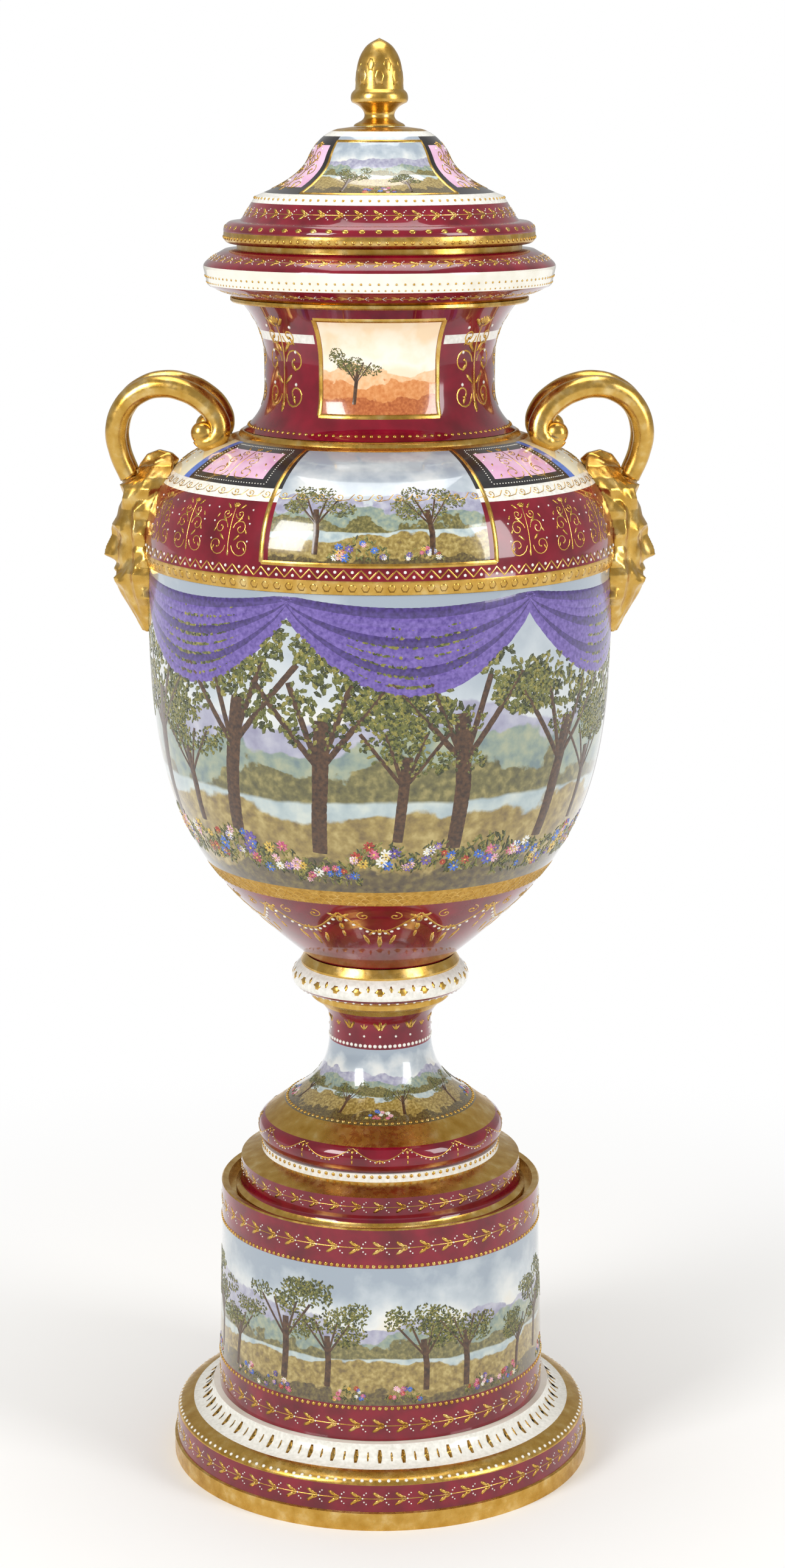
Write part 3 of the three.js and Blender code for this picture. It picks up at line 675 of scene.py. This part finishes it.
# The turned pieces, each painted by height and by side.
def lid_rule(side, r, z):
    """Pictures and black-edged rose panels on the dome, over a crimson slope and a gold rim."""
    if r < 79 and z < 860 or r < 80.5 and z < 831:
        return "ivory"
    if z > 901.6 or z < 838.6:
        return "gold"
    if z > 898.5:
        return "white"
    if z > 863:
        if side < 44:
            return "lid picture"
        return "pink" if 49 < side < 87 and 867.5 < z < 893 else "black"
    if z > 858.5:
        return "white"
    return "crimson"


def rim_rule(side, r, z):
    """Gold on the lip and under the rim, crimson slopes and an ivory edge."""
    if z > 829 or r < 93:
        return "gold"
    if z > 817:
        return "crimson"
    if z > 805.2:
        return "ivory"
    return "crimson" if z > 798.2 else "gold"


def neck_rule(side, r, z):
    """Two pictures on crimson with white bands at the sides, a gold top and an ivory inside."""
    if z > 793.4:
        return "gold"
    if r < 74.5 or z < 711.5:
        return "ivory"
    if side < 28 and 726 < z < 785:
        return "neck picture"
    if side > 31 and (771 < z < 777.6 or 737.8 < z < 743.9):
        return "white"
    return "crimson"


def shoulder_inner(z):
    """Mm from the axis that the shoulder's inner face stays within at a height."""
    if z < 650:
        return 146
    return 140 - (z - 650) * 1.1 if z < 690 else 0


def shoulder_rule(side, r, z):
    """Two pictures, and between them black, rose, blue and cream panels over a crimson ground."""
    if z > 707 or z < 633:
        return "gold"
    if r < shoulder_inner(z):
        return "ivory"
    if z < 641:
        return "crimson"
    if side < 27:
        return "shoulder picture"
    if z < 679:
        return "crimson"
    if z < 686:
        return "white"
    if side < 64:
        return "pink" if 34 < side < 60 and 689.5 < z < 703.5 else "black"
    return "blue" if side < 68 else "cream"


def bowl_inner(z):
    """Mm from the axis that the bowl's inner face stays within at a height."""
    if z <= 366.2:
        return 0
    if z < 438:
        return 46 + (z - 366) * 1.05
    return 119 + (z - 438) * 0.33 if z < 520 else 147.5


def bowl_rule(side, r, z):
    """The wide frieze over a matt gold band and a crimson underside."""
    if r < bowl_inner(z):
        return "ivory"
    if z > 425.5:
        return "frieze"
    return "matt gold" if z > 414.6 else "crimson"


def socle_rule(side, r, z):
    """A crimson step between gold edges, with a white top."""
    if z > 219.6:
        return "white"
    return "crimson" if 196 < z < 213 else "gold"


def bell_rule(side, r, z):
    """A crimson cushion, a gold slope and a picture round the bell, with gold at its top."""
    if r < 30 or z > 321:
        return "gold"
    if z < 243:
        return "crimson"
    if z < 254:
        return "gold"
    return "bell picture" if z < 297 else "crimson"


def drum_rule(side, r, z):
    """A picture all round between crimson bands, and a gold rim and recess."""
    if r < 108.4 and z < 189:
        return "ivory"
    if z > 195 or r < 106:
        return "gold"
    return "plinth picture" if 74.2 < z < 169.5 else "crimson"


turned("plinth_base", bands((12.4, "gold"), (31, "crimson"), (37.2, "gold"), (48.6, "white"), above="ivory"))
turned("plinth_drum", drum_rule)
turned("foot_socle", socle_rule)
turned("foot_bell", bell_rule)
turned("stem_collar", bands((331, "gold"), (337, "crimson"), (350.2, "white"), above="gold"))
turned("bowl", bowl_rule)
turned("shoulder", shoulder_rule)
turned("neck", neck_rule)
turned("neck_rim", rim_rule)
turned("lid_shell", lid_rule)
turned("finial_acorn", bands(above="gold"))


# Ornament of the plinth
laurel_border("base_laurel", "plinth_base", 13, 30.5, "plinth", 60)
bead_row("base_beads", "plinth_base", 33.4, "plinth", 150, 1.3)
laurel_border("drum_foot_laurel", "plinth_drum", 50, 70, "plinth", 44)
laurel_border("drum_top_laurel", "plinth_drum", 173, 194.5, "plinth", 44)
bead_row("drum_low_beads", "plinth_drum", 72.2, "plinth", 170, 1.5, "gold")
bead_row("drum_high_beads", "plinth_drum", 170.9, "plinth", 170, 1.5, "gold")

cove = Art("plinth_base", 38, 48)
cove.leaf("gold", 0, cove.height * 0.5, 90, cove.height * 0.8, 3.2)
cove.leaf("gold", cove.pitch(48) / 2, cove.height * 0.5, 90, cove.height * 0.55, 1.6)
cove.wrap("cove_pendants", "plinth", 48)

for index, offset in enumerate((0, 90, 180, 270)):
    drum_art = Art("plinth_drum", 74.5, 169)
    for x in (-66, -38, 34, 62):
        painted_tree(drum_art, x + rng.uniform(-5, 5), rng.uniform(6, 16), rng.uniform(46, 72),
                     rng.uniform(-0.12, 0.12))
    for x in (-74, -20, 16, 72):
        flower_bank(drum_art, x, 2, 26)
    drum_art.wrap(f"plinth_trees_{index + 1}", "plinth", 1, offset)

# Ornament of the foot and collar
laurel_border("socle_laurel", "foot_socle", 200.6, 213.5, "vase", 40)
bead_row("socle_beads", "foot_socle", 223, "vase", 96, 1.4, "gold")
cushion = Art("foot_bell", 228, 243)
festoon(cushion, cushion.pitch(14), cushion.height * 0.92, cushion.height * 0.8)
cushion.wrap("cushion_festoons", "vase", 14)
bead_row("bell_low_beads", "foot_bell", 254.5, "vase", 96, 1.4, "gold")
bead_row("bell_high_beads", "foot_bell", 299, "vase", 64, 1.4)
bell_art = Art("foot_bell", 256, 296)
for x in (-22, 14):
    painted_tree(bell_art, x, 4, 24, 0.05)
flower_bank(bell_art, 0, 1, 18)
bell_art.wrap("bell_trees", "vase", 4)
stem_art = Art("foot_bell", 302, 320)
for x, size in ((0, 1), (stem_art.pitch(10) / 2, 0.6)):
    for angle in (55, 90, 125):
        turn = math.radians(angle)
        rise = stem_art.height * 0.45 + math.sin(turn) * 3 * size
        stem_art.leaf("gold", x + math.cos(turn) * 4 * size, rise, angle, 9 * size, 2.6 * size)
    stem_art.dot("white", x, stem_art.height * 0.2, 0.9)
stem_art.wrap("stem_anthemion", "vase", 10)
leaf_ring("knop_eggs", "stem_collar", 337.5, 349.5, "vase", 24, (0, 0.45, 0.75, 0.6), (0.5, 0.6, 0.5, 0.2))
bead_row("knop_beads", "stem_collar", 335, "vase", 60, 1.1)

# Ornament of the bowl
bowl_art = Art("bowl", 376, 413)
festoon(bowl_art, bowl_art.pitch(12), bowl_art.height * 0.92, bowl_art.height * 0.66)
for side in (-1, 1):
    bowl_art.spiral("gold", side * 9, bowl_art.height * 0.86, 4.5, 90, 1.1, 1.0, -side)
    bowl_art.leaf("gold", side * 9, bowl_art.height * 0.3, 90 - side * 14, bowl_art.height * 0.34, 4)
bowl_art.leaf("gold", 0, bowl_art.height * 0.24, 90, bowl_art.height * 0.4, 5)
bowl_art.wrap("bowl_festoons", "vase", 12)
scales = Art("bowl", 415, 425.3)
width = scales.pitch(120)
half_turn = [math.radians(degrees) for degrees in range(0, 181, 30)]
for row, shift in ((0.12, 0), (0.4, 0.5), (0.68, 0)):
    arc = [(width * (shift + 0.5 * math.cos(turn)), scales.height * (row + 0.26 * math.sin(turn)))
           for turn in half_turn]
    scales.stroke("gold", arc, 0.7)
scales.wrap("bowl_scales", "vase", 120)
for index in range(6):
    frieze = Art("bowl", 427, 622)
    for x, size in ((-52, 150), (-8, 95), (38, 165)):
        painted_tree(frieze, x + rng.uniform(-8, 8), rng.uniform(26, 44), size * rng.uniform(0.85, 1.0),
                     rng.uniform(-0.08, 0.08))
    for x in (-56, -18, 20, 58):
        flower_bank(frieze, x, rng.uniform(6, 22), rng.uniform(46, 66))
    drape(frieze, 0, frieze.height - 2, frieze.pitch(6) * 1.04, 62)
    frieze.wrap(f"frieze_trees_{index + 1}", "vase", 1, index * 60 + 8)

# Ornament of the shoulder, neck and rim
edge = Art("shoulder", 633.2, 640.8)
pitch = edge.pitch(90)
edge.stroke("gold", [(-pitch / 2, 1), (0, edge.height - 1), (pitch / 2, 1)], 1.1)
edge.dot("white", 0, edge.height * 0.3, 1.1)
edge.dot("white", pitch / 2, edge.height * 0.7, 1.1)
edge.wrap("shoulder_zigzag", "vase", 90)
leaf_ring("shoulder_scales", "shoulder", 624.6, 632.8, "vase", 120, (0, 0.5, 0.9, 0.8))
for index, turn in enumerate((0, 180)):
    front = Art("shoulder", 641, 706.8)
    framed(front, 28, 1.5, 3.2)
    for x in (-34, 30):
        painted_tree(front, x, 8, 46, -0.05)
    flower_bank(front, -10, 5, 34)
    flower_bank(front, 24, 5, 22)
    front.wrap(f"shoulder_frame_{index + 1}", "vase", 1, turn)
    for side in (-1, 1):
        number = index * 2 + (side + 3) // 2
        panel = Art("shoulder", 687, 706)
        arabesque(panel, 0, panel.radius * 0.5, 0.86)
        half = panel.radius * math.radians(15)
        dots = [(x, y) for y in (1.2, panel.height - 1.2) for x in range(-30, 31, 2)]
        dots += [(x, y) for y in range(3, int(panel.height) - 2, 2) for x in (-half, half)]
        for x, y in dots:
            panel.dot("white", x, y, 0.45)
        panel.wrap(f"shoulder_rose_panel_{number}", "vase", 1, turn + side * 47)
        swag = Art("shoulder", 642, 678)
        for step in (-1, 0, 1):
            arabesque(swag, step * 38, 34, 0.9)
        swag.wrap(f"shoulder_gilding_{number}", "vase", 1, turn + side * 52)
    back = Art("shoulder", 687, 706)
    arabesque(back, 0, back.radius * 0.6, 0.8)
    back.wrap(f"shoulder_cream_panel_{index + 1}", "vase", 1, turn + 90)
    picture = Art("neck", 724, 788)
    framed(picture, 29.5, 2, 3.6, "gold")
    painted_tree(picture, -16, 10, 34, 0.05)
    picture.wrap(f"neck_frame_{index + 1}", "vase", 1, turn)
    for side in (-1, 0, 1):
        ground = Art("neck", 722, 790)
        arabesque(ground, 0, 30, 0.9)
        ground.wrap(f"neck_gilding_{index * 3 + side + 2}", "vase", 1, turn + 90 + side * 36)

running = Art("shoulder", 679.4, 685.8)
running.spiral("gold", 0, running.height / 2, running.height * 0.36, 200, 1.1, 0.7)
running.stroke("gold", [(0, running.height * 0.15), (running.pitch(72) * 0.5, running.height * 0.3),
                        (running.pitch(72) * 0.75, running.height * 0.75)], 0.7)
running.wrap("shoulder_running_scroll", "vase", 72)
bead_row("neck_foot_beads", "neck", 714.5, "vase", 110, 1.3, "gold")
bead_row("rim_dots", "neck_rim", 810.5, "vase", 130, 0.8, "gold")
bead_row("rim_low_line", "neck_rim", 806.6, "vase", 170, 0.6, "gold")
laurel_border("rim_laurel", "neck_rim", 818.6, 826, "vase", 60)
laurel_border("rim_under_laurel", "neck_rim", 798.4, 803.8, "vase", 60)

# Ornament of the lid
laurel_border("lid_laurel", "lid_shell", 846, 857, "lid", 44)
leaf_ring("lid_palmettes", "lid_shell", 839.4, 844, "lid", 60, (0, 0.5, 0.8, 0.6))
bead_row("lid_rim_beads", "lid_shell", 835, "lid", 120, 1.3, "gold")
bead_row("lid_white_beads", "lid_shell", 860, "lid", 90, 1.0, "gold")
for index, turn in enumerate((0, 180)):
    dome = Art("lid_shell", 863.4, 897)
    framed(dome, 43, 1.5, 2.6)
    painted_tree(dome, -18, 5, 24, 0.02)
    painted_tree(dome, 16, 5, 20, -0.05)
    flower_bank(dome, 0, 3, 20)
    dome.wrap(f"lid_frame_{index + 1}", "lid", 1, turn)
    rose = Art("lid_shell", 864, 897)
    for step in (-1, 0, 1):
        arabesque(rose, step * 21, 20, 0.9)
    rose.wrap(f"lid_rose_panel_{index + 1}", "lid", 1, turn + 90)
leaf_ring("acorn_leaves", "finial_acorn", 929, 952, "lid", 8, (0, 0.3, 0.7, 0.9), (0.5, 0.62, 0.7, 0.8))


# Handles: a pair of horn-like tubes on each side, each from a mask to a volute on the shoulder.
# Places are x and z in mm.
HORN_ARCH = [(158.5, 664), (164, 680), (170.5, 697), (171.8, 712), (166, 727), (155, 736.5), (142, 740),
             (128, 738), (114.5, 731), (106, 721.5)]
HORN_RADIUS = 7.35
VOLUTE = (112.8, 712.2)
VOLUTE_TURNS = [(9.2, 0), (8.6, 35), (7.7, 70), (6.9, 105), (6.3, 140)]
VOLUTE_EYE, EYE_RADIUS = (114.6, 710.6), 7.6
HORN_ROOT_Y, HORN_TIP_Y = 9, 27
MASK_VOXEL, MASK_SMOOTHING = 0.8, 5


def smoothstep(value, low, high):
    """Eases from 0 to 1 while the value goes from low to high."""
    t = min(max((value - low) / (high - low), 0), 1)
    return t * t * (3 - 2 * t)


def horn_points():
    """A tube's middle line in mm: up from the mask, over its arch and into its volute."""
    points = list(HORN_ARCH)
    for radius, degrees in VOLUTE_TURNS:
        turn = math.radians(180 + degrees)
        points.append((VOLUTE[0] + radius * math.cos(turn), VOLUTE[1] + radius * math.sin(turn)))
    last = len(points) - 1
    return [(x, HORN_ROOT_Y + (HORN_TIP_Y - HORN_ROOT_Y) * smoothstep(i, 0, last * 0.8), z)
            for i, (x, z) in enumerate(points)]


def horn(name, sx, sy):
    """A gilt tube that thins into its volute and ends in a bead. sx and sy, 1 or -1, are its sides."""
    points = horn_points()[1:]  # the first stretch is inside the mask
    data = bpy.data.curves.new(name, "CURVE")
    data.dimensions = "3D"
    data.bevel_depth = HORN_RADIUS * MM
    data.bevel_resolution = 6
    data.use_fill_caps = True
    data.resolution_u = 8
    spline = data.splines.new("BEZIER")
    spline.bezier_points.add(len(points) - 1)
    last = len(points) - 1
    for i, (knot, (x, y, z)) in enumerate(zip(spline.bezier_points, points)):
        knot.co = (sx * x * MM, sy * y * MM, z * MM)
        knot.handle_left_type = knot.handle_right_type = "AUTO"
        knot.radius = (0.84 + 0.16 * smoothstep(i, 0, 3)) * (1 - 0.35 * smoothstep(i, last - 3, last))
    guide = bpy.data.objects.new(name + "_guide", data)
    bpy.context.scene.collection.objects.link(guide)
    bpy.context.view_layer.update()
    bm = bmesh.new()
    bm.from_mesh(bpy.data.meshes.new_from_object(guide))
    bpy.data.objects.remove(guide)
    eye = Matrix.Translation((sx * VOLUTE_EYE[0] * MM, sy * HORN_TIP_Y * MM, VOLUTE_EYE[1] * MM))
    bmesh.ops.create_uvsphere(bm, u_segments=24, v_segments=14, radius=EYE_RADIUS * MM,
                              matrix=eye @ Matrix.Diagonal((1, 0.86, 1, 1)))
    bmesh.ops.remove_doubles(bm, verts=bm.verts, dist=MERGE)
    bmesh.ops.recalc_face_normals(bm, faces=bm.faces)
    piece = settle(bm, "fine_" + name, "vase", ["gold"])
    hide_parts(name)


def cast_mask(node):
    """The mask at its CAD place, with its facets melted into soft modelling."""
    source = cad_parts[node]
    piece = source.copy()
    piece.data = source.data.copy()
    piece.name = "fine_" + node
    for key in list(piece.keys()):
        del piece[key]
    piece.parent = None
    bpy.context.scene.collection.objects.link(piece)
    bm = bmesh.new()
    bm.from_mesh(piece.data)
    bmesh.ops.remove_doubles(bm, verts=bm.verts, dist=MERGE)
    bm.to_mesh(piece.data)
    bm.free()
    remesh = piece.modifiers.new("melt", "REMESH")
    remesh.mode = "VOXEL"
    remesh.voxel_size = MASK_VOXEL * MM
    soften = piece.modifiers.new("soften", "SMOOTH")
    soften.iterations = MASK_SMOOTHING
    bpy.context.view_layer.update()
    evaluated = piece.evaluated_get(bpy.context.evaluated_depsgraph_get())
    finished = bpy.data.meshes.new_from_object(evaluated)
    piece.modifiers.clear()
    piece.data = finished
    piece.data.materials.clear()
    piece.data.materials.append(FINISHES["gold"])
    piece.data.shade_smooth()
    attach(piece, "vase")
    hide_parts(node)


for side_name, sx in (("right", 1), ("left", -1)):
    horn(f"handle_{side_name}_front", sx, -1)
    horn(f"handle_{side_name}_rear", sx, 1)
    cast_mask(f"mask_{side_name}")

# The bolt and its fittings keep their CAD shapes.
for node, finish in (("tie_rod", "iron"), ("lower_washer", "iron"), ("upper_washer", "iron"),
                     ("lower_nut", "brass"), ("upper_nut", "brass"), ("lower_cork_pad", "cork"),
                     ("upper_cork_pad", "cork")):
    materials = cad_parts[node].data.materials
    materials.clear()
    materials.append(FINISHES[finish])


# The stage: a pale floor, soft lamps and the photograph's viewpoint, in metres, with the lens in mm.
FLOOR_REACH = 6
FADE_FROM, FADE_TO = 0.25, 0.9
LAMPS = {  # place, width and height, watts
    "key_softbox": ((-1.7, -1.7, 1.7), (0.8, 1.4), 42),
    "fill_softbox": ((1.9, -1.2, 1.3), (0.7, 1.5), 26),
    "top_softbox": ((0, 0.2, 2.6), (1.4, 1.4), 24),
}
SKY_STRENGTH = 0.55
CAMERA_PLACE = (0.0084, -2.06496, 0.92221)
CAMERA_TILT = 77.71
CAMERA_LENS, CAMERA_SENSOR = 72.25, 36
WHITE_LIGHT = {"Color": (1, 1, 1, 1), "Strength": 1.0}


def pale_floor():
    """A matt floor that fades to white away from the urn."""
    bm = bmesh.new()
    bmesh.ops.create_grid(bm, x_segments=1, y_segments=1, size=FLOOR_REACH)
    mesh = bpy.data.meshes.new("floor")
    bm.to_mesh(mesh)
    bm.free()
    floor = bpy.data.objects.new("floor", mesh)
    bpy.context.scene.collection.objects.link(floor)
    material, tree, shader, where = new_material("pale_floor")
    set_inputs(tree, shader, {"Base Color": linear("#f3f2f0"), "Roughness": 0.8})
    reach = add(tree, "ShaderNodeVectorMath", {"operation": "LENGTH"}, {0: where}).outputs["Value"]
    far = between(tree, reach, FADE_FROM, FADE_TO, 0.0, 1.0)
    white = add(tree, "ShaderNodeEmission", inputs=WHITE_LIGHT).outputs[0]
    blend = add(tree, "ShaderNodeMixShader", inputs={0: far, 1: shader.outputs[0], 2: white})
    set_inputs(tree, tree.nodes["Material Output"], {"Surface": blend.outputs[0]})
    mesh.materials.append(material)


def soft_lamp(name, place, size, power):
    """A softbox aimed at the urn's middle."""
    data = bpy.data.lights.new(name, "AREA")
    data.shape = "RECTANGLE"
    data.size, data.size_y = size
    data.energy = power
    lamp = bpy.data.objects.new(name, data)
    lamp.location = place
    lamp.rotation_euler = (Vector((0, 0, 0.5)) - Vector(place)).to_track_quat("-Z", "Y").to_euler()
    bpy.context.scene.collection.objects.link(lamp)


def stage():
    """Floor, lamps, a dim sky that the camera sees as white, and the camera."""
    pale_floor()
    for name, (place, size, power) in LAMPS.items():
        soft_lamp(name, place, size, power)
    world = bpy.data.worlds.new("studio")
    bpy.context.scene.world = world
    world.use_nodes = True
    sky = world.node_tree
    dim = sky.nodes["Background"]
    set_inputs(sky, dim, {"Color": linear("#e9e8e6"), "Strength": SKY_STRENGTH})
    seen = add(sky, "ShaderNodeBackground", inputs=WHITE_LIGHT).outputs[0]
    rays = add(sky, "ShaderNodeLightPath").outputs["Is Camera Ray"]
    mix = add(sky, "ShaderNodeMixShader", inputs={0: rays, 1: dim.outputs[0], 2: seen})
    set_inputs(sky, sky.nodes["World Output"], {"Surface": mix.outputs[0]})
    camera_data = bpy.data.cameras.new("camera")
    camera_data.sensor_width = CAMERA_SENSOR
    camera_data.sensor_fit = "AUTO"
    camera_data.lens = CAMERA_LENS
    camera = bpy.data.objects.new("camera", camera_data)
    camera.location = CAMERA_PLACE
    camera.rotation_euler = (math.radians(CAMERA_TILT), 0, 0)
    bpy.context.scene.collection.objects.link(camera)
    bpy.context.scene.camera = camera
    bpy.context.scene.view_settings.view_transform = "Standard"


stage()
